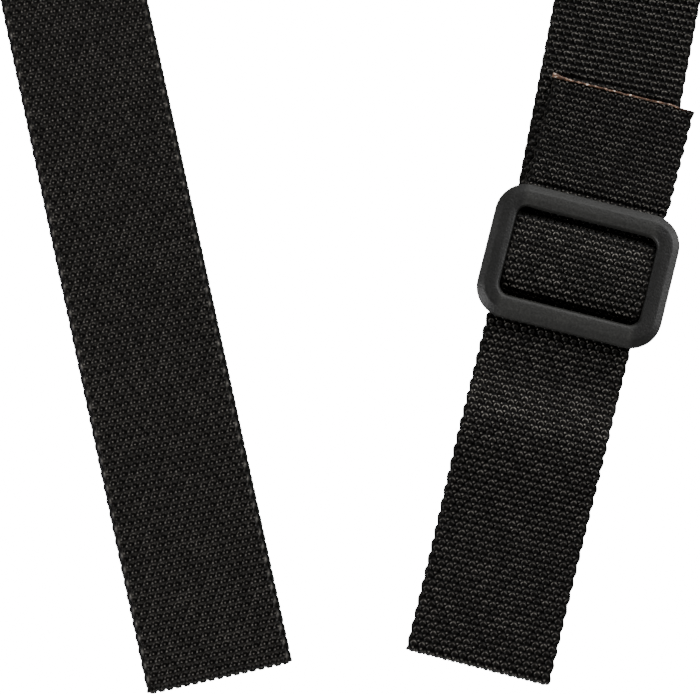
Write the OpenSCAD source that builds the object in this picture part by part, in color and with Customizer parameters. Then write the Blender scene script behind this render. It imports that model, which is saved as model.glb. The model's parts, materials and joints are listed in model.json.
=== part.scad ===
// Webbing guitar strap with a three-bar slider and leather ends, laid down folded into a flat hank.
// X runs across the hank and Y up along it. Z is up, and the strap rests on the plane z = 0.
// The origin is the middle of the footprint, on that plane.

/* [Webbing] */
// Width of the webbing
webbing_w = 50.8; // [48:0.1:51]
// Thickness of the webbing
webbing_t = 1.6; // [1.2:0.05:1.6]
// Width of the webbing where the slider's rails pinch it
pinched_w = 49.8; // [45:0.1:50]

/* [Layout] */
// Distance between the middles of the two bottom folds
fold_spacing = 90; // [80:1:140]
// Lean of the left leg away from the Y axis, in degrees
left_lean = 12.5; // [6:0.1:16]
// Lean of the right leg below the slider, in degrees
right_lean = 14.2; // [10:0.1:16]
// Lean of the right leg above the slider, in degrees
short_lean = 11.2; // [10:0.1:14]
// Height of the crossing's centre line above the bottom folds
crossing_y = 405; // [400:1:460]
// Distance from the right bottom fold to the middle of the slider
slider_y = 143.6; // [140:0.1:150]
// Distance from the middle of the slider to the cut end of the tail
tail_length = 64.7; // [62:0.1:68]
// How far the tail lies to the right of its leg's centre line
tail_shift = 1.2; // [0:0.1:2]

/* [Slider] */
// Width of the slider across the webbing
slider_w = 66; // [64:0.5:72]
// Height of the slider along the webbing
slider_h = 48; // [44:0.5:48]
// Thickness of the slider's frame
slider_t = 4.5; // [3:0.1:6]
// Radius of the slider's outer corners
slider_r = 11; // [6:0.5:14]
// Width of the slider's window
window_w = 50.4; // [50:0.1:52]
// Height of the slider's window
window_h = 32.4; // [32:0.1:33]
// Radius of the window's corners
window_r = 4; // [2:0.5:6]
// How far the centre bar sits below the middle of the window
bar_drop = 1; // [0:0.1:1]
// Width of the centre bar along the webbing
bar_w = 5; // [4:0.1:5]
// Thickness of the centre bar
bar_t = 3.4; // [3:0.1:3.4]

/* [Leather ends] */
// Length of a leather end
tab_length = 95; // [90:1:100]
// Width of a leather end over the webbing
tab_w = 54; // [52:0.5:56]
// Radius of the rounded tip
tip_r = 17; // [15:0.5:20]
// Length of the full-width stretch, before the sides draw in
tab_shoulder = 38; // [36:1:42]
// Thickness of one leather ply
leather_t = 1.8; // [1.4:0.1:1.8]
// How far the webbing reaches in between the plies
webbing_overlap = 34; // [28:1:34]
// Distance from the left bottom fold to the first leather end
tab_1_y = 255; // [250:1:265]
// Distance from the middle of the slider to the second leather end
tab_2_y = 112; // [112:1:114]
// Radius of the button hole
button_hole_r = 4; // [3:0.1:5]
// Distance from the tip to the middle of the button hole
hole_from_tip = 17; // [14:0.5:20]
// Length of the slit beside the button hole
slit_length = 10; // [6:0.5:14]
// Width of that slit
slit_w = 1; // [0.6:0.1:1.4]

/* [Stitching] */
// Distance from one stitch to the next
stitch_pitch = 4; // [3:0.1:6]
// Length of one stitch
stitch_length = 2.8; // [2:0.1:2.9]
// Radius of the thread
thread_r = 0.3; // [0.2:0.05:0.35]
// Distance from a leather edge to its row of stitches
stitch_inset = 3.2; // [2.5:0.1:4]

/* [Hidden] */
$fn = 64;
black_webbing = [0.13, 0.125, 0.12];
charcoal_plastic = [0.2, 0.2, 0.19];
black_leather = [0.09, 0.085, 0.08];
black_thread = [0.07, 0.07, 0.07];
burnt_brown = [0.3, 0.18, 0.11];

// Heights of the layers' middles, in order from the table up.
back_z = webbing_t / 2;
second_z = 2.7;
third_z = 4.6;
fourth_z = 6.4;
bump_z = 9.9;
bar_z = 5.4;
frame_z = 7.4;
foldback_z = 4.5;
tail_end_z = 4.7;

// A bottom fold turns from the back layer to the third, and a top fold from the back to the second.
bottom_fold_r = (third_z + webbing_t / 2) / 2;
top_fold_r = 1.8;
crossing_z = 2 * top_fold_r - webbing_t / 2;

left_fold = [-fold_spacing / 2, 0];
right_fold = [fold_spacing / 2, 0];
slider_at = right_fold + slider_y * up(right_lean);
left_corner = left_fold + crossing_y / cos(left_lean) * up(-left_lean);
right_corner = slider_at + (crossing_y - slider_at[1]) / cos(short_lean) * up(short_lean);

// The crease of a top fold halves the angle between its leg and the crossing.
left_crease = (90 + left_lean) / 2;
right_crease = (90 + short_lean) / 2;
left_crease_half = webbing_w / 2 / sin(left_crease);
right_crease_half = webbing_w / 2 / sin(right_crease);

west = left_corner[0] - left_crease_half * cos(left_crease) - top_fold_r * sin(left_crease);
east = right_corner[0] + right_crease_half * cos(right_crease) + top_fold_r * sin(right_crease);
south = -webbing_w / 2 * sin(max(left_lean, right_lean));
north = crossing_y + webbing_w / 2 + top_fold_r * cos(min(left_crease, right_crease));
middle = [(west + east) / 2, (south + north) / 2];

slider_edge = 26;
// A hair's gap between the lengths of webbing that belong to different moving bodies.
seam = 0.02;
foldback_length = 28;
loop_joint_y = 6;
sealed_edge_t = 0.9;
tip_y = tab_length - tip_r;
hole_y = tab_length - hole_from_tip;
crook_y = webbing_overlap + 1;
crook_length = 10;
steps = 8;

// ---- Directions, curves and ribbons ----

// The direction up a leg that leans to the right.
function up(lean) = [sin(lean), cos(lean)];

// The direction across such a leg, to the right.
function across(lean) = [cos(lean), -sin(lean)];

function ease(u) = u * u * (3 - 2 * u);

// A smooth step from one point of a side view to another, level at both ends.
function ramp(a, b) = [
  for (i = [0:steps]) [a[0] + (b[0] - a[0]) * i / steps, a[1] + (b[1] - a[1]) * ease(i / steps)]
];

function arc(centre, r, from, to) = [
  for (i = [0:2 * steps])
    let (angle = from + (to - from) * i / (2 * steps)) centre + r * [cos(angle), sin(angle)]
];

function heading(path, i) =
  let (step = path[min(i + 1, len(path) - 1)] - path[max(i - 1, 0)]) step / norm(step);

function beside(path, distance) = [
  for (i = [0:len(path) - 1]) let (h = heading(path, i)) path[i] + distance * [-h[1], h[0]]
];

function reversed(list) = [for (i = [len(list) - 1:-1:0]) list[i]];

// The outline of a layer of thickness t that follows a path in side view.
function ribbon(path, t) = concat(beside(path, t / 2), reversed(beside(path, -t / 2)));

// ---- Placing ----

// Centres the footprint on the origin.
module centred() {
  translate([-middle[0], -middle[1], 0]) children();
}

// Stands at a point of the plan with Y up a leg.
module on_leg(base, lean) {
  centred() translate([base[0], base[1], 0]) rotate([0, 0, -lean]) children();
}

// Draws a side view, whose first axis is Y and second is Z, across a width.
module side_view(width) {
  rotate([90, 0, 90]) linear_extrude(width, center = true) children();
}

module strip(path, width = webbing_w, t = webbing_t) {
  side_view(width) polygon(ribbon(path, t));
}

// A layer that lies level and has a given outline in plan.
module level(outline, z, t = webbing_t) {
  centred() translate([0, 0, z - t / 2]) linear_extrude(t) polygon(outline);
}

// The half ring of webbing around a fold of outer radius r, whose outermost line is at y = 0.
module half_ring(length, r) {
  side_view(length) translate([r, r]) difference() {
    circle(r);
    circle(r - webbing_t);
    translate([0, -r]) square(2 * r);
  }
}

// ---- Main webbing ----

module main_webbing_left_front() {
  color(black_webbing) on_leg(left_fold, -left_lean)
    strip([[bottom_fold_r, third_z], [tab_1_y + webbing_overlap, third_z]]);
}

module main_webbing_left_fold() {
  color(black_webbing) on_leg(left_fold, -left_lean) half_ring(webbing_w, bottom_fold_r);
}

module main_webbing_left_back() {
  start = left_fold + bottom_fold_r * up(-left_lean);
  half = webbing_w / 2 * across(-left_lean);
  crease = left_crease_half * [cos(left_crease), sin(left_crease)];
  color(black_webbing)
    level([start - half, start + half, left_corner + crease, left_corner - crease], back_z);
}

module main_webbing_top_left_fold() {
  color(black_webbing) centred() translate([left_corner[0], left_corner[1], 0])
    rotate([0, 0, left_crease + 180]) translate([0, -top_fold_r, 0])
      half_ring(2 * left_crease_half, top_fold_r);
}

module main_webbing_crossing() {
  left = left_crease_half * [cos(left_crease), sin(left_crease)];
  right = right_crease_half * [-cos(right_crease), sin(right_crease)];
  color(black_webbing) level(
    [left_corner - left, right_corner - right, right_corner + right, left_corner + left], crossing_z
  );
}

module main_webbing_top_right_fold() {
  color(black_webbing) centred() translate([right_corner[0], right_corner[1], 0])
    rotate([0, 0, 180 - right_crease]) translate([0, -top_fold_r, 0])
      half_ring(2 * right_crease_half, top_fold_r);
}

// It bends in the plane under the slider, where the leg's lean changes.
module main_webbing_right_back() {
  start = right_fold + bottom_fold_r * up(right_lean);
  half = webbing_w / 2 * across(right_lean);
  knee = webbing_w / 2 / cos((right_lean - short_lean) / 2) * across((right_lean + short_lean) / 2);
  crease = right_crease_half * [cos(right_crease), -sin(right_crease)];
  color(black_webbing) level(
    [
      start - half, start + half, slider_at + knee,
      right_corner + crease, right_corner - crease, slider_at - knee
    ],
    back_z
  );
}

module main_webbing_right_fold() {
  color(black_webbing) on_leg(right_fold, right_lean) half_ring(webbing_w, bottom_fold_r);
}

module main_webbing_right_front() {
  color(black_webbing) on_leg(right_fold, right_lean)
    strip([[bottom_fold_r, third_z], [slider_y - slider_edge - seam, third_z]]);
}

// Under the lower bar, over the centre bar and its loop, and under the upper bar.
module main_webbing_in_slider() {
  rise = ramp([-window_h / 2, third_z], [-4 - bar_drop, bump_z]);
  fall = ramp([2 - bar_drop, bump_z], [window_h / 2 - 1, fourth_z]);
  color(black_webbing) on_leg(slider_at, right_lean) strip(
    concat([[-slider_edge, third_z]], rise, fall, [[slider_edge, fourth_z]]), pinched_w
  );
}

module main_webbing_tail() {
  descent = ramp([slider_edge + 5, fourth_z], [slider_edge + 20, tail_end_z]);
  color(black_webbing) on_leg(slider_at, right_lean) translate([tail_shift, 0, 0]) strip(
    concat([[slider_edge + seam, fourth_z]], descent, [[tail_length - sealed_edge_t, tail_end_z]])
  );
}

module tail_sealed_edge() {
  color(burnt_brown) on_leg(slider_at, right_lean)
    translate([tail_shift, tail_length - sealed_edge_t / 2, tail_end_z])
      cube([webbing_w, sealed_edge_t, webbing_t + 0.2], center = true);
}

// ---- Slider and short webbing ----

module rounded_square(w, h, r) {
  square([w - 2 * r, h], center = true);
  square([w, h - 2 * r], center = true);
  for (x = [-1, 1], y = [-1, 1])
    translate([x * (w / 2 - r), y * (h / 2 - r)]) circle(r);
}

// A frame with a dropped centre bar, which hangs from a lug on each side rail.
module slider() {
  lug_w = 8;
  lug_x = (window_w + slider_w) / 4;
  lug_t = (slider_w - window_w) / 2 - 2;
  bar_end_r = bar_t / 2;
  color(charcoal_plastic) on_leg(slider_at, right_lean) {
    translate([0, 0, frame_z]) linear_extrude(slider_t) difference() {
      rounded_square(slider_w, slider_h, slider_r);
      rounded_square(window_w, window_h, window_r);
    }
    for (side = [-1, 1])
      translate([side * lug_x, -bar_drop, (bar_z - bar_t / 2 + frame_z + 1) / 2])
        cube([lug_t, lug_w, frame_z + 1 - bar_z + bar_t / 2], center = true);
    side_view(2 * lug_x) translate([-bar_drop, bar_z]) {
      square([bar_w - bar_t, bar_t], center = true);
      for (side = [-1, 1]) translate([side * (bar_w / 2 - bar_end_r), 0]) circle(bar_end_r);
    }
  }
}

// From the loop, under the upper bar and the tail, then up to the leather end.
module short_webbing() {
  climb = ramp([tab_2_y - 19, second_z], [tab_2_y - 1, third_z]);
  color(black_webbing) difference() {
    on_leg(slider_at, short_lean)
      strip(concat([[0, second_z]], climb, [[tab_2_y + webbing_overlap, third_z]]));
    on_leg(slider_at, right_lean)
      translate([-webbing_w, loop_joint_y - webbing_w, 0]) cube([2 * webbing_w, webbing_w, frame_z]);
  }
}

// The short webbing's end: under the centre bar, round it, and back on itself.
module short_webbing_bar_loop() {
  turn_r = bar_z - second_z;
  turn = arc([-bar_drop - 0.8, bar_z], turn_r, 270, 90);
  descent = ramp([-bar_drop + 1, bar_z + turn_r], [-bar_drop + 12, foldback_z]);
  color(black_webbing) on_leg(slider_at, right_lean) strip(
    concat([[loop_joint_y, second_z]], turn, descent, [[foldback_length, foldback_z]]), pinched_w
  );
}

module stitch(length = stitch_length) {
  rotate([0, 90, 0]) cylinder(h = length, r = thread_r, center = true, $fn = 16);
}

// A row of stitches between two points of the plan, at the height that a function of y gives.
module stitch_row(a, b, height) {
  count = max(1, floor(norm(b - a) / stitch_pitch));
  turn = atan2(b[1] - a[1], b[0] - a[0]);
  for (i = [0:count - 1])
    let (at = a + (b - a) * (i + 0.5) / count)
      translate([at[0], at[1], height(at[1])]) rotate([0, 0, turn]) stitch();
}

// A box of stitches through the folded-back end, with a cross in it.
module bar_loop_stitching() {
  top = function(y) foldback_z + webbing_t / 2 - 0.05;
  low = 13;
  high = foldback_length - 2.5;
  half = pinched_w / 2 - 4;
  gap = stitch_pitch / 2;
  color(black_thread) on_leg(slider_at, right_lean) {
    for (y = [low, high]) stitch_row([-half, y], [half, y], top);
    for (x = [-half, half]) stitch_row([x, low + gap], [x, high - gap], top);
  }
}

// ---- Leather ends ----

// Plan of a leather end: straight sides, a tapering stretch, and a round tip.
module tab_outline() {
  reach = norm([tab_w / 2, tip_y - tab_shoulder]);
  lean = atan2(tab_w / 2, tip_y - tab_shoulder) - asin(tip_r / reach);
  touch = tip_r * [cos(lean), sin(lean)];
  translate([-tab_w / 2, 0]) square([tab_w, tab_shoulder]);
  polygon([
    [-tab_w / 2, tab_shoulder], [tab_w / 2, tab_shoulder],
    [touch[0], tip_y + touch[1]], [-touch[0], tip_y + touch[1]]
  ]);
  translate([0, tip_y]) circle(tip_r);
}

module button_hole() {
  translate([0, hole_y, 0]) cylinder(h = frame_z * 3, r = button_hole_r, center = true);
  translate([-slit_w / 2, hole_y - slit_length, -frame_z]) cube([slit_w, slit_length, frame_z * 3]);
}

module back_leather(lowest) {
  difference() {
    translate([0, 0, lowest]) linear_extrude(leather_t) tab_outline();
    button_hole();
  }
}

// The middle of the front ply, which comes down onto the back ply past the end of the webbing.
function front_ply_z(y) =
  let (u = min(max((y - crook_y) / crook_length, 0), 1))
    fourth_z - (fourth_z - tail_end_z) * ease(u);

module front_leather() {
  path = concat(
    [[0, fourth_z]], ramp([crook_y, fourth_z], [crook_y + crook_length, tail_end_z]),
    [[tab_length + 1, tail_end_z]]
  );
  difference() {
    intersection() {
      strip(path, tab_w, leather_t);
      linear_extrude(frame_z * 2) tab_outline();
    }
    button_hole();
  }
}

// Rows along the base, the sides, the end of the webbing and the tapering edges, and round the tip.
module tab_stitching() {
  top = function(y) front_ply_z(y) + leather_t / 2 + 0.05;
  half = tab_w / 2 - stitch_inset;
  gap = stitch_pitch / 2;
  tip_row_r = tip_r - stitch_inset;
  tip_stitches = floor(PI * tip_row_r / stitch_pitch);
  for (y = [stitch_inset, webbing_overlap - stitch_inset])
    stitch_row([-half, y], [half, y], top);
  for (side = [-1, 1]) {
    stitch_row([side * half, stitch_inset + gap], [side * half, tab_shoulder - 1], top);
    stitch_row([side * (half - 0.4), tab_shoulder + 1], [side * (tip_row_r + 0.6), tip_y], top);
  }
  for (i = [0:tip_stitches - 1])
    let (angle = 180 * (i + 0.5) / tip_stitches)
      translate([tip_row_r * cos(angle), tip_y + tip_row_r * sin(angle), top(tip_y)])
        rotate([0, 0, angle + 90]) stitch();
}

module on_tab_1() {
  on_leg(left_fold, -left_lean) translate([0, tab_1_y, 0]) children();
}

module on_tab_2() {
  on_leg(slider_at, short_lean) translate([0, tab_2_y, 0]) children();
}

module end_tab_1_front_leather() {
  color(black_leather) on_tab_1() front_leather();
}

module end_tab_1_back_leather() {
  color(black_leather) on_tab_1() back_leather(second_z - webbing_t / 2);
}

module end_tab_1_stitching() {
  color(black_thread) on_tab_1() tab_stitching();
}

module end_tab_2_front_leather() {
  color(black_leather) on_tab_2() front_leather();
}

module end_tab_2_back_leather() {
  color(black_leather) on_tab_2() back_leather(second_z - webbing_t / 2);
}

module end_tab_2_stitching() {
  color(black_thread) on_tab_2() tab_stitching();
}

main_webbing_left_front();
main_webbing_left_fold();
main_webbing_left_back();
main_webbing_top_left_fold();
main_webbing_crossing();
main_webbing_top_right_fold();
main_webbing_right_back();
main_webbing_right_fold();
main_webbing_right_front();
main_webbing_in_slider();
main_webbing_tail();
tail_sealed_edge();
short_webbing();
short_webbing_bar_loop();
bar_loop_stitching();
slider();
end_tab_1_front_leather();
end_tab_1_back_leather();
end_tab_1_stitching();
end_tab_2_front_leather();
end_tab_2_back_leather();
end_tab_2_stitching();
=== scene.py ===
"""Guitar strap of black webbing with a moulded slider and leather ends, folded into a flat hank."""

import json
import math

import bpy
import numpy as np
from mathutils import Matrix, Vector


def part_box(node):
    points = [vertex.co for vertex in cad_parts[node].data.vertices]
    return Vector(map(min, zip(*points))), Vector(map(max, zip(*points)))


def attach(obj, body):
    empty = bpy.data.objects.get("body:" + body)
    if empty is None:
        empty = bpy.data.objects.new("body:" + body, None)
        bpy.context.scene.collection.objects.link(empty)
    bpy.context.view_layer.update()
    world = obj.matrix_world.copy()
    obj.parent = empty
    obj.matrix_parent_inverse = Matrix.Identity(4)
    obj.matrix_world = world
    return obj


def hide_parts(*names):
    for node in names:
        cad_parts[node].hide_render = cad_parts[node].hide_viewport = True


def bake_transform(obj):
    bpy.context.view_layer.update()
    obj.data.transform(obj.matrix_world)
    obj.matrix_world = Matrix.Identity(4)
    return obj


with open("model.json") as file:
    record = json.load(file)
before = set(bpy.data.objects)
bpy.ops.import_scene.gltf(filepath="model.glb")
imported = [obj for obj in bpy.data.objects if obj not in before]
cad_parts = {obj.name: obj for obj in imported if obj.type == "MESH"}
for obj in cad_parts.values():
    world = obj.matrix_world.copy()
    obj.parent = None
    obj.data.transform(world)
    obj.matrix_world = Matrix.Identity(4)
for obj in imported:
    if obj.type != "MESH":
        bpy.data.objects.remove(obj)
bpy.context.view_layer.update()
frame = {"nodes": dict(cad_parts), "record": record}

# ---- Sizes, in metres, as in the CAD ----
WEBBING_W = 0.0508
PINCHED_W = 0.0498
FOLD_SPACING = 0.090
SLIDER_Y = 0.1436
CROSSING_Y = 0.405
TAIL_LENGTH = 0.0647
TAIL_SHIFT = 0.0012
TAB_1_Y = 0.255
TAB_2_Y = 0.112
WEBBING_OVERLAP = 0.034
LEFT_LEAN = math.radians(-12.5)
SHORT_LEAN = math.radians(11.2)
SEALED_EDGE_T = 0.0009
SLIDER_EDGE = 0.026

# Heights of the layers' middles, from the table up.
BACK_Z = 0.0008
SECOND_Z = 0.0027
CROSSING_Z = 0.0028
FOLDBACK_Z = 0.0045
THIRD_Z = 0.0046
TAIL_END_Z = 0.0047
FOURTH_Z = 0.0064

# The slider's frame.
SLIDER_W = 0.066
SLIDER_H = 0.048
SLIDER_R = 0.011
WINDOW_W = 0.0504
WINDOW_H = 0.0324
WINDOW_R = 0.004
FRAME_LOW = 0.0074
FRAME_HIGH = 0.0119
BAR_DROP = 0.001
BAR_Z = 0.0054
BAR_W = 0.005
BAR_T = 0.0034
LUG_H = 0.008
SLIDER_RIGHT = 0.0004
SLIDER_DOWN = 0.0003

# The weave: warp yarns lie side by side, and each floats over every second pick of weft.
YARN = 0.001464
PICK = 0.00242
HALF_T = 0.00052
SELVEDGE = 0.0016
EDGE_ROUND = 0.0005
HALF_FLAT = WEBBING_W / 2 - EDGE_ROUND

# Spacings of the bands' meshes: across a face in view, along, and across a face out of view.
FACE = YARN / 6
ROW = PICK / 10
COARSE = YARN * 2


# ---- Places ----

def up(lean):
    """The direction up a leg that leans to the right."""
    return np.array([math.sin(lean), math.cos(lean), 0.0])


def across(lean):
    return np.array([math.cos(lean), -math.sin(lean), 0.0])


def middle(node):
    low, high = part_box(node)
    return np.array([(low[0] + high[0]) / 2, (low[1] + high[1]) / 2, 0.0])


def joint_axis():
    return frame["record"]["behaviour"]["joints"][0]["axis"]


RIGHT_LEAN = math.atan2(joint_axis()[0], joint_axis()[1])
SLIDER_AT = middle("slider")
RIGHT_FOLD = SLIDER_AT - SLIDER_Y * up(RIGHT_LEAN)
LEFT_FOLD = RIGHT_FOLD - np.array([FOLD_SPACING, 0.0, 0.0])
LEFT_CORNER = LEFT_FOLD + CROSSING_Y / math.cos(LEFT_LEAN) * up(LEFT_LEAN)
CORNER_REACH = (RIGHT_FOLD[1] + CROSSING_Y - SLIDER_AT[1]) / math.cos(SHORT_LEAN)
RIGHT_CORNER = SLIDER_AT + CORNER_REACH * up(SHORT_LEAN)


# ---- Camera, light and floor ----

CAMERA_TILT = math.radians(8)
CAMERA_DISTANCE = 1.2
CAMERA_LENS = 176.6
# From the slider to the point the camera looks at.
CAMERA_AIM = np.array([-0.0794, -0.0284, 0.005])
LIGHTS_AIM = np.array([0.0, -0.1, 0.0])
# How bright the sky and the floor look to the camera. They light the strap far less than this.
SEEN_WHITE = 16.0


def make_camera():
    back = np.array([0.0, -math.sin(CAMERA_TILT), math.cos(CAMERA_TILT)])
    camera = bpy.data.objects.new("camera", bpy.data.cameras.new("camera"))
    camera.data.sensor_width = 36
    camera.data.lens = CAMERA_LENS
    camera.location = SLIDER_AT + CAMERA_AIM + CAMERA_DISTANCE * back
    camera.rotation_euler = (CAMERA_TILT, 0.0, 0.0)
    camera.data.clip_end = 20
    bpy.context.collection.objects.link(camera)
    bpy.context.scene.camera = camera


def softbox(name, azimuth, elevation, distance, size, power):
    """A rectangular light that faces LIGHTS_AIM, from +Y at azimuth 0 and from +X at azimuth 90."""
    data = bpy.data.lights.new(name, "AREA")
    data.shape = "RECTANGLE"
    data.size, data.size_y = size
    data.energy = power
    light = bpy.data.objects.new(name, data)
    a, e = math.radians(azimuth), math.radians(elevation)
    towards = np.array([math.sin(a) * math.cos(e), math.cos(a) * math.cos(e), math.sin(e)])
    light.location = LIGHTS_AIM + distance * towards
    light.rotation_euler = (math.pi / 2 - e, 0.0, math.pi - a)
    bpy.context.collection.objects.link(light)


def make_light():
    softbox("top_light", 26, 35, 3.5, (2.5, 1.0), 100)
    softbox("right_light", 74, 24, 1.5, (0.5, 0.35), 19)
    softbox("left_light", -106, 24, 1.5, (0.5, 0.35), 32)
    softbox("front_light", 178, 38, 1.8, (1.6, 0.6), 2)
    world = bpy.data.worlds.new("studio")
    world.use_nodes = True
    nodes, links = world.node_tree.nodes, world.node_tree.links
    sky = nodes["Background"]
    sky.inputs["Color"].default_value = (1.0, 1.0, 1.0, 1.0)
    seen = nodes.new("ShaderNodeLightPath").outputs["Is Camera Ray"]
    links.new(math_node(nodes, links, "MULTIPLY_ADD", seen, SEEN_WHITE, 0.03), sky.inputs["Strength"])
    bpy.context.scene.world = world


def make_floor():
    """A plain pale floor."""
    bpy.ops.mesh.primitive_plane_add(size=12)
    floor = bpy.context.object
    floor.name = "floor"
    material = bpy.data.materials.new("pale_floor")
    material.use_nodes = True
    shader = material.node_tree.nodes["Principled BSDF"]
    shader.inputs["Base Color"].default_value = (0.92, 0.92, 0.92, 1.0)
    shader.inputs["Roughness"].default_value = 0.9
    shader.inputs["Emission Color"].default_value = (1.0, 1.0, 1.0, 1.0)
    nodes, links = material.node_tree.nodes, material.node_tree.links
    seen = nodes.new("ShaderNodeLightPath").outputs["Is Camera Ray"]
    glow = math_node(nodes, links, "MULTIPLY_ADD", seen, SEEN_WHITE, 0.1)
    links.new(glow, shader.inputs["Emission Strength"])
    floor.data.materials.append(material)


# ---- Node helpers ----

def new_material(name):
    material = bpy.data.materials.new(name)
    material.use_nodes = True
    nodes = material.node_tree.nodes
    return material, nodes, material.node_tree.links, nodes["Principled BSDF"]


def noise_node(nodes, links, source, scale, detail, stretch=None):
    """A noise texture over a coordinate socket, stretched along its axes if asked."""
    noise = nodes.new("ShaderNodeTexNoise")
    noise.inputs["Scale"].default_value = scale
    noise.inputs["Detail"].default_value = detail
    if stretch:
        mapping = nodes.new("ShaderNodeMapping")
        mapping.inputs["Scale"].default_value = stretch
        links.new(source, mapping.inputs["Vector"])
        source = mapping.outputs["Vector"]
    links.new(source, noise.inputs["Vector"])
    return noise.outputs["Fac"]


def ramp_node(nodes, links, source, stops):
    """A colour ramp over a value socket. Each stop is (place, colour)."""
    ramp = nodes.new("ShaderNodeValToRGB")
    elements = ramp.color_ramp.elements
    while len(elements) < len(stops):
        elements.new(0.5)
    for element, (place, colour) in zip(elements, stops):
        element.position = place
        element.color = (*colour, 1.0)
    links.new(source, ramp.inputs["Fac"])
    return ramp.outputs["Color"]


def multiplied(nodes, links, colour, source, low, high):
    """A colour times a grey that runs from low to high with a value socket."""
    grey = ramp_node(nodes, links, source, [(0.0, (low, low, low)), (1.0, (high, high, high))])
    mix = nodes.new("ShaderNodeMix")
    mix.data_type = "RGBA"
    mix.blend_type = "MULTIPLY"
    mix.inputs["Factor"].default_value = 1.0
    links.new(colour, mix.inputs["A"])
    links.new(grey, mix.inputs["B"])
    return mix.outputs["Result"]


def math_node(nodes, links, operation, *values):
    """A math node over sockets or numbers."""
    node = nodes.new("ShaderNodeMath")
    node.operation = operation
    for value, socket in zip(values, node.inputs):
        if isinstance(value, (int, float)):
            socket.default_value = value
        else:
            links.new(value, socket)
    return node.outputs["Value"]


def bump_node(nodes, links, shader, height, distance, strength):
    bump = nodes.new("ShaderNodeBump")
    bump.inputs["Strength"].default_value = strength
    bump.inputs["Distance"].default_value = distance
    links.new(height, bump.inputs["Height"])
    links.new(bump.outputs["Normal"], shader.inputs["Normal"])


def attribute_node(nodes, name, output):
    node = nodes.new("ShaderNodeAttribute")
    node.attribute_name = name
    return node.outputs[output]


# ---- Materials ----

def webbing_material():
    """Black nylon yarn with filaments along each yarn. Its colour carries painted light from the depth
    attribute: painted highlights on the floats, painted shade in the pits.
    """
    material, nodes, links, shader = new_material("webbing_nylon")
    place = attribute_node(nodes, "weave", "Vector")
    # The depth attribute holds painted light: painted highlights on the floats' rims and the weft, painted
    # shade on their bodies and in the pits.
    depth = attribute_node(nodes, "depth", "Fac")
    tint = attribute_node(nodes, "tint", "Fac")
    filament = noise_node(nodes, links, place, 900.0, 2.0, (3.0, 0.7, 1.0))
    level = math_node(nodes, links, "MULTIPLY_ADD", filament, 0.24, -0.12)
    level = math_node(nodes, links, "MULTIPLY_ADD", depth, 0.8, level)
    # The ramp turns that painted light into colour, from near black in painted shade to pale in painted
    # highlight.
    colour = ramp_node(nodes, links, level, [
        (0.08, (0.0012, 0.0011, 0.001)),
        (0.4, (0.0055, 0.0051, 0.0046)),
        (0.576, (0.02, 0.0186, 0.0167)),
        (0.696, (0.072, 0.067, 0.0603)),
        (0.8, (0.19, 0.177, 0.159)),
        (0.92, (0.4, 0.372, 0.335)),
    ])
    links.new(multiplied(nodes, links, colour, tint, 0.65, 1.0), shader.inputs["Base Color"])
    shader.inputs["Roughness"].default_value = 0.42
    shader.inputs["Specular IOR Level"].default_value = 0.07
    shader.inputs["Sheen Weight"].default_value = 0.01
    shader.inputs["Sheen Roughness"].default_value = 0.4
    bump_node(nodes, links, shader, filament, 0.0001, 0.5)
    return material


def plastic_material():
    """Charcoal moulded plastic with a fine matte grain, darker on the side rails."""
    material, nodes, links, shader = new_material("slider_plastic")
    place = nodes.new("ShaderNodeTexCoord").outputs["Object"]
    grain = noise_node(nodes, links, place, 1500.0, 3.0)
    cloud = noise_node(nodes, links, place, 90.0, 3.0)
    rail = attribute_node(nodes, "side_rail", "Fac")
    shade = math_node(nodes, links, "MULTIPLY_ADD", cloud, 0.4, rail)
    colour = ramp_node(nodes, links, shade, [
        (0.1, (0.0165, 0.0164, 0.0153)),
        (0.3, (0.0215, 0.0213, 0.0197)),
        (1.0, (0.006, 0.0059, 0.0056)),
    ])
    colour = multiplied(nodes, links, colour, grain, 0.2, 1.8)
    links.new(colour, shader.inputs["Base Color"])
    rough = math_node(nodes, links, "MULTIPLY_ADD", grain, 0.16, 0.44)
    links.new(rough, shader.inputs["Roughness"])
    shader.inputs["Specular IOR Level"].default_value = 0.33
    bump_node(nodes, links, shader, grain, 0.0002, 0.8)
    return material


def edge_material():
    """Nylon melted to a brown bead, with a few bright specks."""
    material, nodes, links, shader = new_material("sealed_edge")
    place = attribute_node(nodes, "weave", "Vector")
    blotch = noise_node(nodes, links, place, 700.0, 4.0)
    frayed = attribute_node(nodes, "frayed", "Fac")
    level = math_node(nodes, links, "MULTIPLY_ADD", frayed, -0.2, blotch)
    colour = ramp_node(nodes, links, level, [
        (0.3, (0.022, 0.013, 0.009)),
        (0.5, (0.12, 0.062, 0.037)),
        (0.58, (0.26, 0.15, 0.1)),
        (0.66, (0.8, 0.68, 0.58)),
    ])
    links.new(colour, shader.inputs["Base Color"])
    shader.inputs["Roughness"].default_value = 0.35
    bump_node(nodes, links, shader, blotch, 0.0002, 0.6)
    return material


def leather_material():
    """Black leather with a pebbled grain and a paler rub on its high spots."""
    material, nodes, links, shader = new_material("black_leather")
    place = nodes.new("ShaderNodeTexCoord").outputs["Object"]
    cells = nodes.new("ShaderNodeTexVoronoi")
    cells.inputs["Scale"].default_value = 900.0
    cells.feature = "DISTANCE_TO_EDGE"
    links.new(place, cells.inputs["Vector"])
    wear = noise_node(nodes, links, place, 60.0, 4.0)
    colour = ramp_node(nodes, links, wear, [
        (0.35, (0.009, 0.0082, 0.0075)),
        (0.75, (0.022, 0.0195, 0.0175)),
    ])
    links.new(colour, shader.inputs["Base Color"])
    rough = math_node(nodes, links, "MULTIPLY_ADD", wear, 0.2, 0.38)
    links.new(rough, shader.inputs["Roughness"])
    bump_node(nodes, links, shader, cells.outputs["Distance"], 0.0003, 0.5)
    return material


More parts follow.
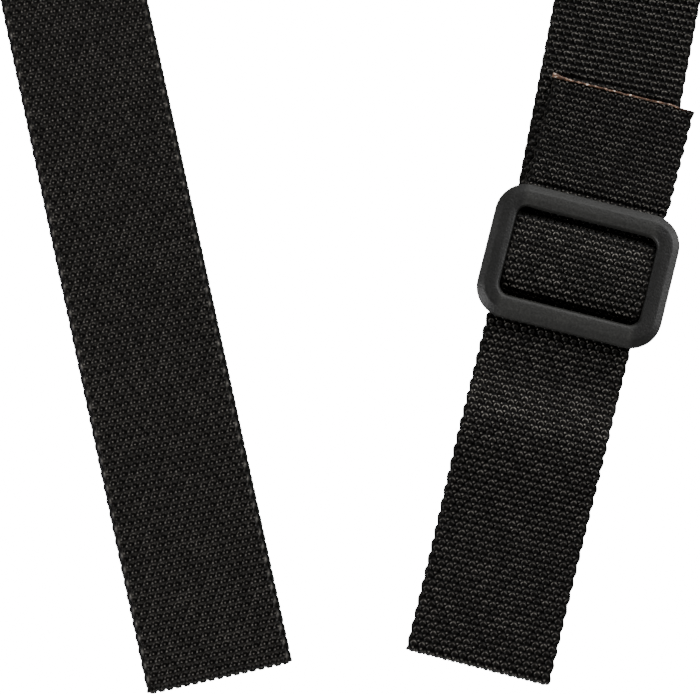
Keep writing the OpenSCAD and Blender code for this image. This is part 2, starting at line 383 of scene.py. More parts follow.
def thread_material():
    """Black twisted thread."""
    material, nodes, links, shader = new_material("black_thread")
    place = nodes.new("ShaderNodeTexCoord").outputs["Object"]
    twist = nodes.new("ShaderNodeTexWave")
    twist.bands_direction = "DIAGONAL"
    twist.inputs["Scale"].default_value = 700.0
    links.new(place, twist.inputs["Vector"])
    colour = ramp_node(nodes, links, twist.outputs["Fac"], [
        (0.0, (0.006, 0.006, 0.006)),
        (1.0, (0.03, 0.029, 0.027)),
    ])
    links.new(colour, shader.inputs["Base Color"])
    shader.inputs["Roughness"].default_value = 0.55
    bump_node(nodes, links, shader, twist.outputs["Fac"], 0.0001, 0.6)
    return material


# ---- The weave's relief and its painted light ----

# One float and the pits round it. RIM_DROP is the length over which its upper end falls to the pits'
# floor, BODY_FALL how steeply its body sinks, and ARCH how strongly the upper end is arched.
FLOOR_Z = -0.00042
RIM_Z = 0.00036
RIM_DROP = 0.0007
RIM_HALF = 0.00104
BODY_Z = 0.00031
BODY_FALL = 0.42
BODY_HALF = 0.00062
ARCH = 680.0
LEFT_ARCH = 450.0
SHORT_ARCH = 300.0
BEAD_HIGH = 0.00056
# Painted light for each piece of webbing, set apart for each piece to stand in for how the light falls on
# it: how bright the painted highlight on a float's rim is, the painted shade on its body, and the ground.
RIGHT_PAINTED_LIGHT = (0.95, 0.52, 0.07)
LEFT_PAINTED_LIGHT = (0.86, 0.34, 0.42)
SHORT_PAINTED_LIGHT = (0.97, 0.50, 0.05)
TAIL_PAINTED_LIGHT = (0.96, 0.42, -0.03)
# Bits of weft round a float: place across and along, half sizes, and the brightness of their painted
# highlight.
RIGHT_SPOTS = ((0.0, -0.00202, 0.0005, 0.00046, 0.95),)
LEFT_SPOTS = ((-0.0001, -0.0012, 0.00045, 0.00045, 0.94), (0.0002, 0.0011, 0.00042, 0.00058, 0.92))


def step(value):
    value = np.clip(value, 0.0, 1.0)
    return value * value * (3.0 - 2.0 * value)


def hashed(column, row):
    """A steady value from 0 to 1 for each float."""
    value = np.sin(column * 12.9898 + row * 78.233) * 43758.5453
    return value - np.floor(value)


def float_relief(dx, ds, arch, bright, body_shade):
    """One float: a steep arched rim at its upper end with a painted highlight, and a body that sinks and
    narrows below, in painted shade.
    """
    over = ds + arch * dx ** 2
    below = np.minimum(over, 0.0)
    body = BODY_Z + BODY_FALL * below + (RIM_Z - BODY_Z) * np.exp(below / 0.0002)
    rim = RIM_Z - (RIM_Z - FLOOR_Z) * step(over / RIM_DROP)
    half = BODY_HALF + (RIM_HALF - BODY_HALF) * np.exp(below / 0.0006)
    side_end = 1.0 - step((np.abs(dx) / half - 0.8) / 0.4)
    low_end = 1.0 - step((-ds - 0.0013) / 0.0005)
    # Painted highlight on the rim, fading into the painted shade of the body below it.
    shine = body_shade + (bright - body_shade) * np.exp(-(below / 0.0003) ** 2)
    light = np.where(over < 0.0, shine, bright * np.exp(-(over / 0.0005) ** 4))
    # A thin darker line runs along each float, a little left of its middle.
    light = light * (1.0 - 0.25 * np.exp(-((dx + 0.0003) / 0.0002) ** 2))
    return FLOOR_Z + (np.where(over < 0.0, body, rim) - FLOOR_Z) * side_end * low_end, light * low_end


def bead_relief(dx, ds, spot):
    """A bit of weft that shows in the pits round a float, with a painted highlight brightest at its
    middle.
    """
    across_at, along_at, half_across, half_along, bright = spot
    inside = 1.0 - ((dx - across_at) / half_across) ** 2 - ((ds - along_at) / half_along) ** 2
    share = np.sqrt(np.clip(inside, 0.0, 1.0))
    return FLOOR_Z + BEAD_HIGH * share, bright * np.sqrt(share)


def weave_relief(x, s, arch=ARCH, painted_light=RIGHT_PAINTED_LIGHT, spots=RIGHT_SPOTS):
    """Height of the woven face over its middle plane, and its painted light, at x across and s along:
    painted highlights on the floats' rims, the weft ridges and the beads, and painted shade on the floats'
    bodies and in the pits.
    arch says how strongly the upper end of each float is arched, tone how bright the painted highlight on
    its rim, the painted shade on its body and the ground are, and spots which bits of weft show round it."""
    bright, body_shade, ground = painted_light
    # The ground between floats: low weft ridges, each with a painted highlight along its crest.
    ridge = np.cos(math.pi * s / PICK) ** 2
    height = FLOOR_Z + 0.00012 * ridge
    light = ground + 0.3 * ridge
    for side in (-1, 0, 1):
        column = np.round(x / YARN) + side
        for row in (-1, 0, 1):
            turn_at = 2 * PICK * (np.round((s - np.mod(column, 2) * PICK) / (2 * PICK)) + row)
            chance = hashed(column, np.round(turn_at / PICK))
            dx = x - column * YARN - 0.00016 * (chance - 0.5)
            ds = s - np.mod(column, 2) * PICK - turn_at - 0.0003 * (np.mod(chance * 7.0, 1.0) - 0.5)
            rise, rise_light = float_relief(dx, ds, arch, bright, body_shade)
            light = np.where(rise > height, rise_light * (0.85 + 0.15 * chance), light)
            height = np.maximum(rise, height)
            for spot in spots:
                bead, bead_light = bead_relief(dx, ds, spot)
                light = np.where(bead > height, bead_light, light)
                height = np.maximum(bead, height)
    return height, light


def float_tint(x, s):
    """How light each float is, since no two catch the light alike."""
    column = np.round(x / YARN)
    row = np.round(s / PICK)
    return hashed(column, row)


# ---- Routes ----

def leg_line(base, lean, points, drift=lambda y: 0.0):
    """Side-view points (y, z) of a leg as points in space, with the direction across at each.
    drift says how far to the right the line lies at each y."""
    spots = [base + y * up(lean) + drift(y) * across(lean) + np.array([0.0, 0.0, z]) for y, z in points]
    return np.array(spots), np.array([across(lean)] * len(points))


def joined(*lines):
    return np.concatenate([line[0] for line in lines]), np.concatenate([line[1] for line in lines])


def slope(y0, z0, y1, z1, count=24):
    """Points that go smoothly from one height to another, level at both ends."""
    return [
        (y0 + (y1 - y0) * i / count, z0 + (z1 - z0) * float(step(np.array(i / count))))
        for i in range(count + 1)
    ]


def turn(y, z, r, start, end, count=24):
    """Points on an arc in side view, by angles in degrees."""
    angles = [math.radians(start + (end - start) * i / count) for i in range(count + 1)]
    return [(y + r * math.cos(a), z + r * math.sin(a)) for a in angles]


class Route:
    """A centre line in space, followed by its length."""

    def __init__(self, line):
        points, sides = line
        keep = np.concatenate([[True], np.linalg.norm(np.diff(points, axis=0), axis=1) > 1e-7])
        self.points, self.sides = points[keep], sides[keep]
        steps = np.linalg.norm(np.diff(self.points, axis=0), axis=1)
        self.lengths = np.concatenate([[0.0], np.cumsum(steps)])
        self.length = self.lengths[-1]

    def along(self, values, v):
        return np.stack([np.interp(v, self.lengths, values[:, i]) for i in range(3)], -1)

    def at(self, v):
        """Position, across and outward directions at each length v."""
        reach = 0.0004
        ahead = np.minimum(v + reach, self.length)
        behind = np.maximum(v - reach, 0.0)
        heading = self.along(self.points, ahead) - self.along(self.points, behind)
        heading /= np.linalg.norm(heading, axis=-1, keepdims=True)
        side = self.along(self.sides, v)
        side /= np.linalg.norm(side, axis=-1, keepdims=True)
        outward = np.cross(side, heading)
        outward /= np.linalg.norm(outward, axis=-1, keepdims=True)
        return self.along(self.points, v), side, outward


# ---- Bands of webbing ----

def full_loops(v):
    return np.ones(v.shape)


def no_painted_light(v):
    return np.zeros(v.shape)


def weft_loop(u, s):
    """How far the weft's loop stands out at s, from 0 to 1. It comes out slowly and goes back quickly."""
    phase = np.where(u > 0, 0.0, PICK)
    share = np.mod((s + phase) / (2 * PICK), 1.0)
    return np.sin(math.pi * share ** 1.6)


def selvedge(u, s):
    """Moves the outermost yarns in and out where the weft turns back, once every two picks."""
    edge = step((np.abs(u) - HALF_FLAT + 0.0022) / 0.0022)
    return np.sign(u) * edge * (0.0006 * weft_loop(u, s) ** 0.8 - 0.00034)


def cross_section(columns_face, columns_back):
    """The loop round a band: (place across from -1 to 1, which face) for each point."""
    face = [(u, 1.0) for u in np.linspace(-1, 1, columns_face)]
    back = [(u, -1.0) for u in np.linspace(1, -1, columns_back)]
    right = [(1.0, level) for level in (0.5, 0.0, -0.5)]
    left = [(-1.0, level) for level in (-0.5, 0.0, 0.5)]
    return np.array(face + right + back + left)


def edge_cord(u, s, strength, height, light):
    """A smooth cord along each selvedge, with a painted highlight on its loop every two picks and painted
    shade on the outermost yarns.
    """
    cord = strength * np.exp(-((np.abs(u) - HALF_FLAT + 0.0009) / 0.0004) ** 2)
    loop = weft_loop(u, s) ** 1.5
    outermost = step((np.abs(u) - HALF_FLAT + 0.0006) / 0.0005)
    height = height + cord * (0.00005 + 0.00022 * loop - height)
    light = light + cord * (0.45 + 0.5 * loop - light)
    return height, light * (1.0 - (0.1 + 0.5 * strength) * outermost)


def band(name, route, start, end, width, rows, face, back, material,
         corded=0.2, loops=full_loops, arch=ARCH, painted_light=RIGHT_PAINTED_LIGHT, spots=RIGHT_SPOTS, glow=no_painted_light):
    """A closed band of webbing along a route. start and end give v for each place across, in metres.
    rows is the spacing along; face and back are the spacings across each face. corded is how strong the
    smooth cord on its selvedges is, with its painted highlight and painted shade, and loops how far their
    loops stand out. arch, tone and spots are the weave's shape, painted light and weft bits, and glow is
    how much the painted highlights on its floats are strengthened at v."""
    loop = cross_section(int(2 * HALF_FLAT / face) + 1, int(2 * HALF_FLAT / back) + 1)
    place = loop[:, 0] * HALF_FLAT
    first, last = start(place), end(place)
    count = max(2, int(round(np.mean(last - first) / rows)))
    v = first + (last - first) * np.linspace(0, 1, count + 1)[:, None]
    u = np.broadcast_to(place, v.shape)
    level = np.broadcast_to(loop[:, 1], v.shape)
    scale = width(v) / WEBBING_W
    rim = step((WEBBING_W / 2 - np.abs(u)) / SELVEDGE)
    relief, light = edge_cord(u, v, corded, *weave_relief(u, v, arch, painted_light, spots))
    under, under_light = weave_relief(-u, v + PICK, arch)
    thick = HALF_T * (0.55 + 0.45 * rim)
    depth = 0.45 + 0.55 * rim
    height = np.where(level > 0, thick + relief * depth, -(thick + under * depth))
    height = np.where(np.abs(level) < 1, thick * level * 1.1, height)
    outwards = np.sign(u) * EDGE_ROUND * np.sqrt(1 - level ** 2)
    sideways = (u + outwards + loops(v) * selvedge(u, v)) * scale
    at, side, outward = route.at(v)
    points = at + side * sideways[..., None] + outward * height[..., None]
    band_object = tube_mesh(name, points)
    add_attribute(band_object, "weave", np.stack([u, v, 0.002 * level], -1))
    # glow strengthens the painted highlights on the face's floats; the back face takes its own painted
    # light.
    light = np.where(level > 0, light * (1.0 + glow(v) * light), under_light)
    # The depth attribute gets the painted light; the band's sides get a painted shade, darker where the
    # cord is strong.
    add_attribute(band_object, "depth", np.where(np.abs(level) < 1, 0.72 - 0.22 * corded, light))
    add_attribute(band_object, "tint", float_tint(u, v))
    band_object.data.materials.append(material)
    return band_object


def tube_mesh(name, points):
    """A closed tube through rows of points, each row a loop, with a flat cap at each end."""
    rows, loop = points.shape[:2]
    index = np.arange(rows * loop).reshape(rows, loop)
    near, far = index[:-1], index[1:]
    quads = np.stack([near, np.roll(near, -1, 1), np.roll(far, -1, 1), far], -1).reshape(-1, 4)
    faces = quads.tolist() + [index[0][::-1].tolist(), index[-1].tolist()]
    mesh = bpy.data.meshes.new(name)
    mesh.from_pydata(points.reshape(-1, 3).tolist(), [], faces)
    mesh.update()
    mesh.polygons.foreach_set("use_smooth", [True] * len(quads) + [False, False])
    made = bpy.data.objects.new(name, mesh)
    bpy.context.collection.objects.link(made)
    return made


def add_attribute(target, name, values):
    """A value or vector for each vertex."""
    vector = values.shape[-1] == 3 and values.ndim == 3
    kind, key = ("FLOAT_VECTOR", "vector") if vector else ("FLOAT", "value")
    attribute = target.data.attributes.new(name, kind, "POINT")
    attribute.data.foreach_set(key, values.reshape(-1).astype(np.float32))


def full_width(v):
    return np.full(v.shape, WEBBING_W)


def level_end(v):
    """An end cut straight across at length v."""
    return lambda u: np.full(u.shape, float(v))


def oblique_end(v, rate):
    """An end cut at a slant: its length changes by rate for each metre across."""
    return lambda u: v + rate * u


def dress_sheet(piece, nodes, body):
    """Hides the CAD nodes that a band stands for, and puts the band on a body if one is given."""
    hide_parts(*nodes)
    if body:
        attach(piece, body)


# ---- The left leg ----

TURN_R = (THIRD_Z - BACK_Z) / 2
TURN_Z = (THIRD_Z + BACK_Z) / 2
# A front sheet takes in its fold and a little of the back layer.
TURN_LENGTH = math.pi * TURN_R + 0.004
# A back layer's line goes on past its corner, so that its end can be cut on the slant.
PAST_CORNER = 0.03
LEFT_SHEETS = 4
LEFT_TURN_Y = TURN_R - 0.0040
RIGHT_TURN_Y = TURN_R - 0.0004


def make_left_leg(material):
    """Down the back of the leg, round its bottom fold, and up the front."""
    corner = CROSSING_Y / math.cos(LEFT_LEAN)
    top = TAB_1_Y + WEBBING_OVERLAP
    back_run = [(corner + PAST_CORNER, BACK_Z), (LEFT_TURN_Y, BACK_Z)]
    fold = turn(LEFT_TURN_Y, TURN_Z, TURN_R, 270, 90)
    route = Route(leg_line(LEFT_FOLD, LEFT_LEAN, back_run + fold + [(top, THIRD_Z)]))
    turn_start = route.length - (top - LEFT_TURN_Y) - TURN_LENGTH
    crease = (math.pi / 2 - LEFT_LEAN) / 2
    back_end = oblique_end(PAST_CORNER, -1 / math.tan(crease))
    back = band("webbing_left_back", route, back_end, level_end(turn_start), full_width,
                ROW * 2, FACE * 2, FACE * 2, material, corded=1.0)
    dress_sheet(back, ["main_webbing_left_back"], "strap")
    cuts = np.linspace(turn_start, route.length, LEFT_SHEETS + 1)
    for i, (low, high) in enumerate(zip(cuts[:-1], cuts[1:])):
        part = band(f"webbing_left_front_{i + 1}", route, level_end(low), level_end(high), full_width,
                    ROW, FACE, COARSE, material,
                    corded=1.0, arch=LEFT_ARCH, painted_light=LEFT_PAINTED_LIGHT, spots=LEFT_SPOTS)
        nodes = ["main_webbing_left_front"] + (["main_webbing_left_fold"] if i == 0 else [])
        dress_sheet(part, nodes, "strap")


# ---- The right leg ----

# The front layer in side view: its places up the leg, and its heights.
HUMP = 0.0034
HUMP_FROM = 0.044
HUMP_TOP = 0.081
CREASE_Y = 0.1035
CREASE_Z = THIRD_Z - 0.0001
UNDER_BAR_Z = 0.0058
ENTRY_Z = 0.0062


def right_front_line():
    """Level from the fold, over a soft hump, down to a crease, and up under the slider's lower bar."""
    top = THIRD_Z + HUMP
    return (
        slope(HUMP_FROM, THIRD_Z, HUMP_TOP, top)
        + slope(HUMP_TOP + 0.001, top, CREASE_Y, CREASE_Z)
        + slope(CREASE_Y + 0.001, CREASE_Z, SLIDER_Y - SLIDER_EDGE, ENTRY_Z)
    )


def front_drift(y):
    """The leg lies a little left of its fold, most of all below the slider, and to the right in it."""
    leaving = 1 - step((y - SLIDER_Y + 0.024) / 0.006)
    inside = step((y - SLIDER_Y + 0.022) / 0.006) * (1 - step((y - SLIDER_Y - 0.015) / 0.006))
    spread = 0.00022 * step(y / 0.03) + 0.00035 * step((y - 0.030) / 0.05)
    return float(0.0004 * inside - spread * leaving)


DOME_Z = 0.0107
DOME_FROM = -0.0136
DOME_TOP = -0.004
DOME_TO = 0.0124
TAIL_START = 0.022


def dome(y):
    """The bulge's height: nearly level below its top, and a slope that steepens towards the upper bar."""
    if y < DOME_TOP:
        return DOME_Z - 0.0031 * ((y - DOME_TOP) / (DOME_FROM - DOME_TOP)) ** 4
    return DOME_Z - 0.0018 * ((y - DOME_TOP) / (DOME_TO - DOME_TOP)) ** 2.2


def slider_line():
    """Under the lower bar, over the centre bar in a bulge, under the upper bar. y is from the slider."""
    bulge = [(y, dome(y)) for y in np.linspace(DOME_FROM, DOME_TO, 48)]
    return (
        slope(-SLIDER_EDGE, ENTRY_Z, -0.0190, UNDER_BAR_Z, 8)
        + [(-0.0160, UNDER_BAR_Z), (-0.0148, ENTRY_Z), (-0.0141, 0.0067)]
        + bulge
        + [(DOME_TO + 0.0005, 0.0081), (DOME_TO + 0.0010, 0.0069), (DOME_TO + 0.0022, FOURTH_Z - 0.0002)]
        + [(TAIL_START, FOURTH_Z)]
    )


def tail_drift(y):
    """The tail comes out of the slider a little to the right, and leans on from there."""
    return TAIL_SHIFT * float(step((y - TAIL_START) / 0.006)) + 0.0005 * (y - TAIL_START) / 0.04


def tail_line():
    descent = slope(SLIDER_EDGE, FOURTH_Z, 0.046, TAIL_END_Z)
    return [(TAIL_START, FOURTH_Z)] + descent + [(TAIL_LENGTH - SEALED_EDGE_T, TAIL_END_Z)]


def lifted(points, y):
    return [(p[0] + y, p[1]) for p in points]


def knee_line(corner_y):
    """The back of the right leg, which changes its lean under the slider."""
    upper = leg_line(SLIDER_AT, SHORT_LEAN, [(corner_y + PAST_CORNER, BACK_Z), (0.004, BACK_Z)])
    lower = leg_line(RIGHT_FOLD, RIGHT_LEAN, [(SLIDER_Y - 0.004, BACK_Z), (RIGHT_TURN_Y, BACK_Z)])
    return joined(upper, lower)


def make_right_leg(material):
    corner_y = np.linalg.norm(RIGHT_CORNER - SLIDER_AT)
    fold = turn(RIGHT_TURN_Y, TURN_Z, TURN_R, 270, 90)
    front_points = fold + right_front_line() + lifted(slider_line(), SLIDER_Y)
    front = leg_line(RIGHT_FOLD, RIGHT_LEAN, front_points, front_drift)
    route = Route(joined(knee_line(corner_y), front))
    tail_route = Route(leg_line(SLIDER_AT, RIGHT_LEAN, tail_line(), tail_drift))

    def reached(y):
        """How far along the route the front is at y up the leg."""
        heights = (route.points - RIGHT_FOLD) @ up(RIGHT_LEAN)
        front_part = route.lengths > route.lengths[np.argmin(heights)]
        return float(np.interp(y, heights[front_part], route.lengths[front_part]))

    turn_start = reached(RIGHT_TURN_Y) - TURN_LENGTH
    seam = reached(SLIDER_Y - SLIDER_EDGE)
    crease = (math.pi / 2 + SHORT_LEAN) / 2

    def in_window(v):
        """1 in the slider's window and 0 away from it."""
        return np.exp(-((v - seam - 0.028) / 0.018) ** 8)

    def width(v):
        """The slider pinches the band, which is a little wider just below it and in its window."""
        pinch = step((v - seam - 0.002) / 0.006)
        spread = step((v - seam + 0.09) / 0.05) * (1 - pinch)
        return WEBBING_W + (PINCHED_W - WEBBING_W) * pinch + 0.0007 * (in_window(v) + spread)

    def pressed_loops(v):
        return 1.0 - 0.85 * in_window(v)

    hump = reached(0.090)

    # Painted highlight on the hump, where it slopes towards the top light, and round the fold's turn.
    def hump_and_fold_painted_light(v):
        return 0.15 * np.exp(-((v - hump) / 0.011) ** 2) + 0.12 * np.exp(-((v - turn_start) / 0.008) ** 2)

    crest = reached(SLIDER_Y + 0.0075)

    # Painted highlight on the webbing in the slider's window, strongest on the bulge's crest.
    def window_painted_light(v):
        return in_window(v) * (0.05 + 0.08 * np.exp(-((v - crest) / 0.004) ** 2))

    # Painted highlight, strongest where the tail leaves the slider and gone 20 mm on.
    def tail_painted_light(v):
        return 0.06 * (1.0 - step(v / 0.02))

    def tail_width(v):
        return PINCHED_W + (WEBBING_W - PINCHED_W) * step(v / 0.004)

    back_end = oblique_end(PAST_CORNER, 1 / math.tan(crease))
    back = band("webbing_right_back", route, back_end, level_end(turn_start), full_width,
                ROW * 2, FACE * 2, FACE * 2, material)
    dress_sheet(back, ["main_webbing_right_back"], "strap")
    middle_v = (turn_start + seam) / 2
    lower = band("webbing_right_front_1", route, level_end(turn_start), level_end(middle_v), width,
                 ROW, FACE, COARSE, material, glow=hump_and_fold_painted_light)
    upper = band("webbing_right_front_2", route, level_end(middle_v), level_end(seam), width,
                 ROW, FACE, COARSE, material, glow=hump_and_fold_painted_light)
    in_slider = band("webbing_in_slider", route, level_end(seam), level_end(route.length), width,
                     ROW, FACE, COARSE, material, loops=pressed_loops, glow=window_painted_light)
    tail_piece = band("webbing_tail", tail_route, level_end(0), level_end(tail_route.length), tail_width,
                      ROW, FACE, COARSE, material, painted_light=TAIL_PAINTED_LIGHT, glow=tail_painted_light)
    lower_nodes = ["main_webbing_right_front", "main_webbing_right_fold"]
    dress_sheet(lower, lower_nodes, None)
    dress_sheet(upper, ["main_webbing_right_front"], None)
    dress_sheet(in_slider, ["main_webbing_in_slider"], "adjuster")
    dress_sheet(tail_piece, ["main_webbing_tail"], None)
    return lower, upper, tail_piece


# ---- The crossing at the top ----

def make_crossing(material):
    """From the top left fold to the top right one, with both rolls."""
    centre_z = (BACK_Z + CROSSING_Z) / 2
    roll_r = (CROSSING_Z - BACK_Z) / 2
    left_crease = (math.pi / 2 - LEFT_LEAN) / 2
    right_crease = (math.pi / 2 + SHORT_LEAN) / 2
    loop = cross_section(int(2 * HALF_FLAT / (FACE * 2)) + 1, int(2 * HALF_FLAT / COARSE) + 1)
    u = loop[:, 0] * HALF_FLAT
    level = loop[:, 1]
    # Across runs towards -Y, so that the band's outward side is up while it heads to the right.
    left_x = LEFT_CORNER[0] - u / math.tan(left_crease)
    right_x = RIGHT_CORNER[0] + u / math.tan(right_crease)
    flat_y = LEFT_CORNER[1] - u
    angles = np.linspace(0, math.pi, 13)
    count = int((RIGHT_CORNER[0] - LEFT_CORNER[0]) / (ROW * 2))
    rows, headings, lengths = [], [], []
    left_out = np.array([-math.sin(left_crease), math.cos(left_crease), 0.0])
    right_out = np.array([math.sin(right_crease), math.cos(right_crease), 0.0])
    for angle in angles[:-1]:
        base = np.stack([left_x, flat_y, np.full(u.shape, centre_z - roll_r * math.cos(angle))], -1)
        rows.append(base + roll_r * math.sin(angle) * left_out)
        headings.append(left_out * math.sin(angle) + np.array([0.0, 0.0, -math.cos(angle)]))
        lengths.append(np.full(u.shape, -roll_r * (math.pi - angle)))
    for i in range(count + 1):
        x = left_x + (right_x - left_x) * i / count
        rows.append(np.stack([x, flat_y, np.full(u.shape, CROSSING_Z)], -1))
        headings.append(np.array([0.0, 0.0, 1.0]))
        lengths.append(x - LEFT_CORNER[0])
    for angle in angles[1:]:
        base = np.stack([right_x, flat_y, np.full(u.shape, centre_z + roll_r * math.cos(angle))], -1)
        rows.append(base + roll_r * math.sin(angle) * right_out)
        headings.append(right_out * math.sin(angle) + np.array([0.0, 0.0, math.cos(angle)]))
        lengths.append(right_x - LEFT_CORNER[0] + roll_r * angle)
    at = np.array(rows)
    outward = np.array(headings)[:, None, :]
    s = np.array(lengths)
    u = np.broadcast_to(u, s.shape)
    level = np.broadcast_to(level, s.shape)
    relief, light = weave_relief(u, s)
    height = np.where(level > 0, HALF_T + relief, -(HALF_T + weave_relief(-u, s + PICK)[0]))
    height = np.where(np.abs(level) < 1, HALF_T * level, height)
    sideways = np.sign(u) * EDGE_ROUND * np.sqrt(1 - level ** 2) + selvedge(u, s)
    points = at + outward * height[..., None] + np.array([0.0, -1.0, 0.0]) * sideways[..., None]
    piece = tube_mesh("webbing_crossing", points)
    add_attribute(piece, "weave", np.stack([u, s, 0.002 * level], -1))
    # The depth attribute gets the weave's painted light.
    add_attribute(piece, "depth", light)
    add_attribute(piece, "tint", float_tint(u, s))
    piece.data.materials.append(material)
    nodes = ["main_webbing_crossing", "main_webbing_top_left_fold", "main_webbing_top_right_fold"]
    dress_sheet(piece, nodes, "strap")


# ---- The short webbing ----

SHORT_HIDDEN = 0.050


def make_short_webbing(material):
    """Back on itself over the centre bar, round it, and up under the tail to the second leather end."""
    turn_r = BAR_Z - SECOND_Z
    turn_y = -BAR_DROP - 0.0008
    loop = (
        [(0.028, FOLDBACK_Z)]
        + slope(-BAR_DROP + 0.012, FOLDBACK_Z, -BAR_DROP + 0.001, BAR_Z + turn_r)
        + turn(turn_y, BAR_Z, turn_r, 90, 270)
        + [(0.006, SECOND_Z)]
    )
    run = (
        [(0.010, SECOND_Z)]
        + slope(TAB_2_Y - 0.019, SECOND_Z, TAB_2_Y - 0.001, THIRD_Z)
        + [(TAB_2_Y + WEBBING_OVERLAP, THIRD_Z)]
    )
    line = joined(leg_line(SLIDER_AT, RIGHT_LEAN, loop), leg_line(SLIDER_AT, SHORT_LEAN, run))
    route = Route(line)
    loop_end = Route(leg_line(SLIDER_AT, RIGHT_LEAN, loop)).length

    def width(v):
        return PINCHED_W + (WEBBING_W - PINCHED_W) * step((v - loop_end) / 0.012)

    bend = band("webbing_short_loop", route, level_end(0), level_end(loop_end), width,
                ROW * 2, FACE * 2, COARSE, material)
    dress_sheet(bend, ["short_webbing_bar_loop"], "adjuster")
    cut = loop_end + SHORT_HIDDEN
    hidden = band("webbing_short", route, level_end(loop_end), level_end(cut), width,
                  ROW * 2, FACE * 2, COARSE, material)
    dress_sheet(hidden, ["short_webbing"], "adjuster")
    seen = band("webbing_short_end", route, level_end(cut), level_end(route.length), width,
                ROW, FACE, COARSE, material, arch=SHORT_ARCH, painted_light=SHORT_PAINTED_LIGHT)
    dress_sheet(seen, ["short_webbing"], "adjuster")


# ---- The sealed edge ----

PAST_LEFT = 0.0007
PAST_RIGHT = 0.0006


def make_sealed_edge(material):
    """The tail's cut end, melted to a thin uneven bead that sticks out at both sides."""
    rng = np.random.default_rng(7)
    count = 240
    u = np.linspace(-WEBBING_W / 2 - PAST_LEFT, WEBBING_W / 2 + PAST_RIGHT, count)
    wobble = np.convolve(rng.normal(size=count + 8), np.ones(9) / 9, "valid")
    lumps = np.abs(np.convolve(rng.normal(size=count + 4), np.ones(5) / 5, "valid"))
    left_curl = np.exp(-((u + WEBBING_W / 2) / 0.004) ** 2)
    right_point = step((WEBBING_W / 2 + PAST_RIGHT - u) / 0.002)
    frayed = step((u - WEBBING_W / 2 + 0.008) / 0.006)
    half = (0.00026 + 0.00012 * lumps + 0.00045 * left_curl) * (0.15 + 0.85 * right_point)
    base_y = TAIL_LENGTH - 0.00045 + 0.00022 * wobble + 0.0005 * left_curl - 0.0004 * frayed
    base_z = TAIL_END_Z + 0.00055 + 0.0002 * wobble
    angles = np.linspace(0, 2 * math.pi, 13)[:-1]
    origin = SLIDER_AT + tail_drift(TAIL_LENGTH) * across(RIGHT_LEAN)
    above = np.array([0.0, 0.0, 1.0])
    line = origin + np.outer(u, across(RIGHT_LEAN))
    centre = line + np.outer(base_y, up(RIGHT_LEAN)) + np.outer(base_z, above)
    ring = np.outer(np.cos(angles), up(RIGHT_LEAN)) + np.outer(np.sin(angles), 1.5 * above)
    bead = tube_mesh("tail_sealed_bead", centre[:, None, :] + half[:, None, None] * ring)
    round_it = half[:, None] * np.stack([np.cos(angles), np.sin(angles)])[:, None, :]
    spots = np.stack(np.broadcast_arrays(u[:, None], *round_it), -1)
    add_attribute(bead, "weave", spots)
    add_attribute(bead, "frayed", np.broadcast_to(frayed[:, None], (count, len(angles))))
    bead.data.materials.append(material)
    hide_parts("tail_sealed_edge")
    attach(bead, "strap")


# ---- The slider ----

def rounded_loop(w, h, r, corner_steps=14, side_steps=10):
    """Points round a rounded rectangle, so that two of them match point for point."""
    points = []
    corners = [(1, 1, 0), (-1, 1, 90), (-1, -1, 180), (1, -1, 270)]
    for i, (sx, sy, start) in enumerate(corners):
        cx, cy = sx * (w / 2 - r), sy * (h / 2 - r)
        for k in range(corner_steps + 1):
            a = math.radians(start + 90 * k / corner_steps)
            points.append((cx + r * math.cos(a), cy + r * math.sin(a)))
        nx, ny, nstart = corners[(i + 1) % 4]
        a = math.radians(nstart)
        ahead = (nx * (w / 2 - r) + r * math.cos(a), ny * (h / 2 - r) + r * math.sin(a))
        here = points[-1]
        for k in range(1, side_steps):
            points.append(tuple(here[j] + (ahead[j] - here[j]) * k / side_steps for j in range(2)))
    return np.array(points)


def rail_profile():
    """The rail's section, from its lower outer edge over the top to its lower inner edge: (share, z)."""
    t = FRAME_HIGH - FRAME_LOW
    outer = [(0.05, 0.0), (0.012, 0.04), (0.0, 0.12), (0.0, 0.3), (0.0, 0.5), (0.004, 0.57), (0.018, 0.62)]
    bevel = [(0.04, 0.65), (0.07, 0.683), (0.27, 0.903), (0.30, 0.932), (0.325, 0.95), (0.355, 0.964)]
    top = [(0.39, 0.973), (0.45, 0.982), (0.64, 1.0), (0.67, 1.0), (0.70, 0.996), (0.725, 0.987)]
    ledge = [(0.76, 0.973), (0.90, 0.917), (0.925, 0.903), (0.945, 0.88), (0.965, 0.845)]
    inner = [(0.985, 0.78), (0.995, 0.7), (1.0, 0.6), (1.0, 0.3), (1.0, 0.12), (0.985, 0.04), (0.95, 0.0)]
    return [(share, FRAME_LOW + t * level) for share, level in outer + bevel + top + ledge + inner]


def frame_rings():
    """Loops round the frame, one for each point of its section. The lower bar's ledge is nearly flush."""
    outside = rounded_loop(SLIDER_W, SLIDER_H, SLIDER_R)
    inside = rounded_loop(WINDOW_W, WINDOW_H, WINDOW_R)
    lower_bar = step(-outside[:, 1] / (WINDOW_H / 2))
    rings = []
    for share, z in rail_profile():
        plan = outside + (inside - outside) * share
        lift = float(0.85 * step((0.95 - share) / 0.05) * (share > 0.67)) * (FRAME_HIGH - z) * lower_bar
        rings.append(np.concatenate([plan, (z + lift)[:, None]], 1))
    return np.array(rings)


def block(x, y, z, w, h, t):
    """Corners and faces of a box, to be rounded by a bevel."""
    signs = [(i, j, k) for i in (-1, 1) for j in (-1, 1) for k in (-1, 1)]
    corners = [(x + i * w / 2, y + j * h / 2, z + k * t / 2) for i, j, k in signs]
    faces = [(0, 1, 3, 2), (4, 6, 7, 5), (0, 4, 5, 1), (2, 3, 7, 6), (0, 2, 6, 4), (1, 5, 7, 3)]
    return corners, faces


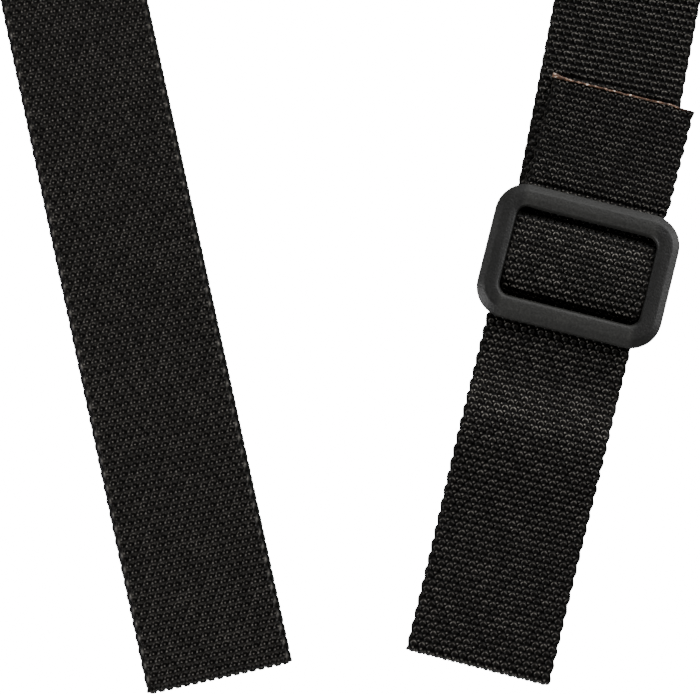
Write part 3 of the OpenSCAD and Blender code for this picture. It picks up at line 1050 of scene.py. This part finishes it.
def make_slider(material):
    """The frame with its bevelled rails, two lugs, and the centre bar that hangs from them."""
    rings = frame_rings()
    sections, around = rings.shape[:2]
    points = [tuple(p) for p in rings.reshape(-1, 3)]
    faces = []
    for i in range(sections):
        for j in range(around):
            a, b = i * around + j, i * around + (j + 1) % around
            c, d = ((i + 1) % sections) * around + (j + 1) % around, ((i + 1) % sections) * around + j
            faces.append((a, b, c, d))
    lug_x = (WINDOW_W + SLIDER_W) / 4
    lug_t = (SLIDER_W - WINDOW_W) / 2 - 0.002
    lug_low = BAR_Z - BAR_T / 2
    parts = [block(0, -BAR_DROP, BAR_Z, 2 * lug_x, BAR_W, BAR_T)]
    lug_h = FRAME_LOW + 0.001 - lug_low
    for side in (-1, 1):
        parts.append(block(side * lug_x, -BAR_DROP, lug_low + lug_h / 2, lug_t, LUG_H, lug_h))
    for corners, quads in parts:
        base = len(points)
        points += corners
        faces += [tuple(base + k for k in quad) for quad in quads]
    mesh = bpy.data.meshes.new("slider_frame")
    origin = SLIDER_AT + SLIDER_RIGHT * across(RIGHT_LEAN) - SLIDER_DOWN * up(RIGHT_LEAN)
    right, ahead = across(RIGHT_LEAN), up(RIGHT_LEAN)
    spots = [origin + x * right + y * ahead + np.array([0, 0, z]) for x, y, z in points]
    mesh.from_pydata([tuple(p) for p in spots], [], faces)
    mesh.polygons.foreach_set("use_smooth", [True] * len(faces))
    slider = bpy.data.objects.new("slider_frame", mesh)
    bpy.context.collection.objects.link(slider)
    beside = step((np.abs(np.array(points)[:, 0]) - WINDOW_W / 2 + 0.003) / 0.003)
    add_attribute(slider, "side_rail", 0.75 * beside)
    bevel = slider.modifiers.new("edges", "BEVEL")
    bevel.width = 0.0006
    bevel.segments = 3
    bevel.limit_method = "ANGLE"
    bevel.angle_limit = math.radians(60)
    slider.data.materials.append(material)
    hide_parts("slider")
    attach(slider, "adjuster")


# ---- Leather ends and stitches ----

def finish_cad_nodes(leather, thread):
    """The leather plies, with softened edges, and the stitches keep their CAD shapes."""
    for name, node in frame["nodes"].items():
        if "leather" in name:
            node.data.materials.clear()
            node.data.materials.append(leather)
            bevel = node.modifiers.new("soft_edge", "BEVEL")
            bevel.width = 0.0004
            bevel.segments = 3
            bevel.limit_method = "ANGLE"
            bevel.angle_limit = math.radians(50)
        if "stitching" in name:
            node.data.materials.clear()
            node.data.materials.append(thread)


# ---- Making ----

make_camera()
make_light()
make_floor()
webbing = webbing_material()
make_left_leg(webbing)
right_lower, right_upper, tail_piece = make_right_leg(webbing)
make_crossing(webbing)
make_short_webbing(webbing)
make_sealed_edge(edge_material())
make_slider(plastic_material())
finish_cad_nodes(leather_material(), thread_material())

for part in (right_lower, right_upper):
    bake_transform(part)
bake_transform(tail_piece)
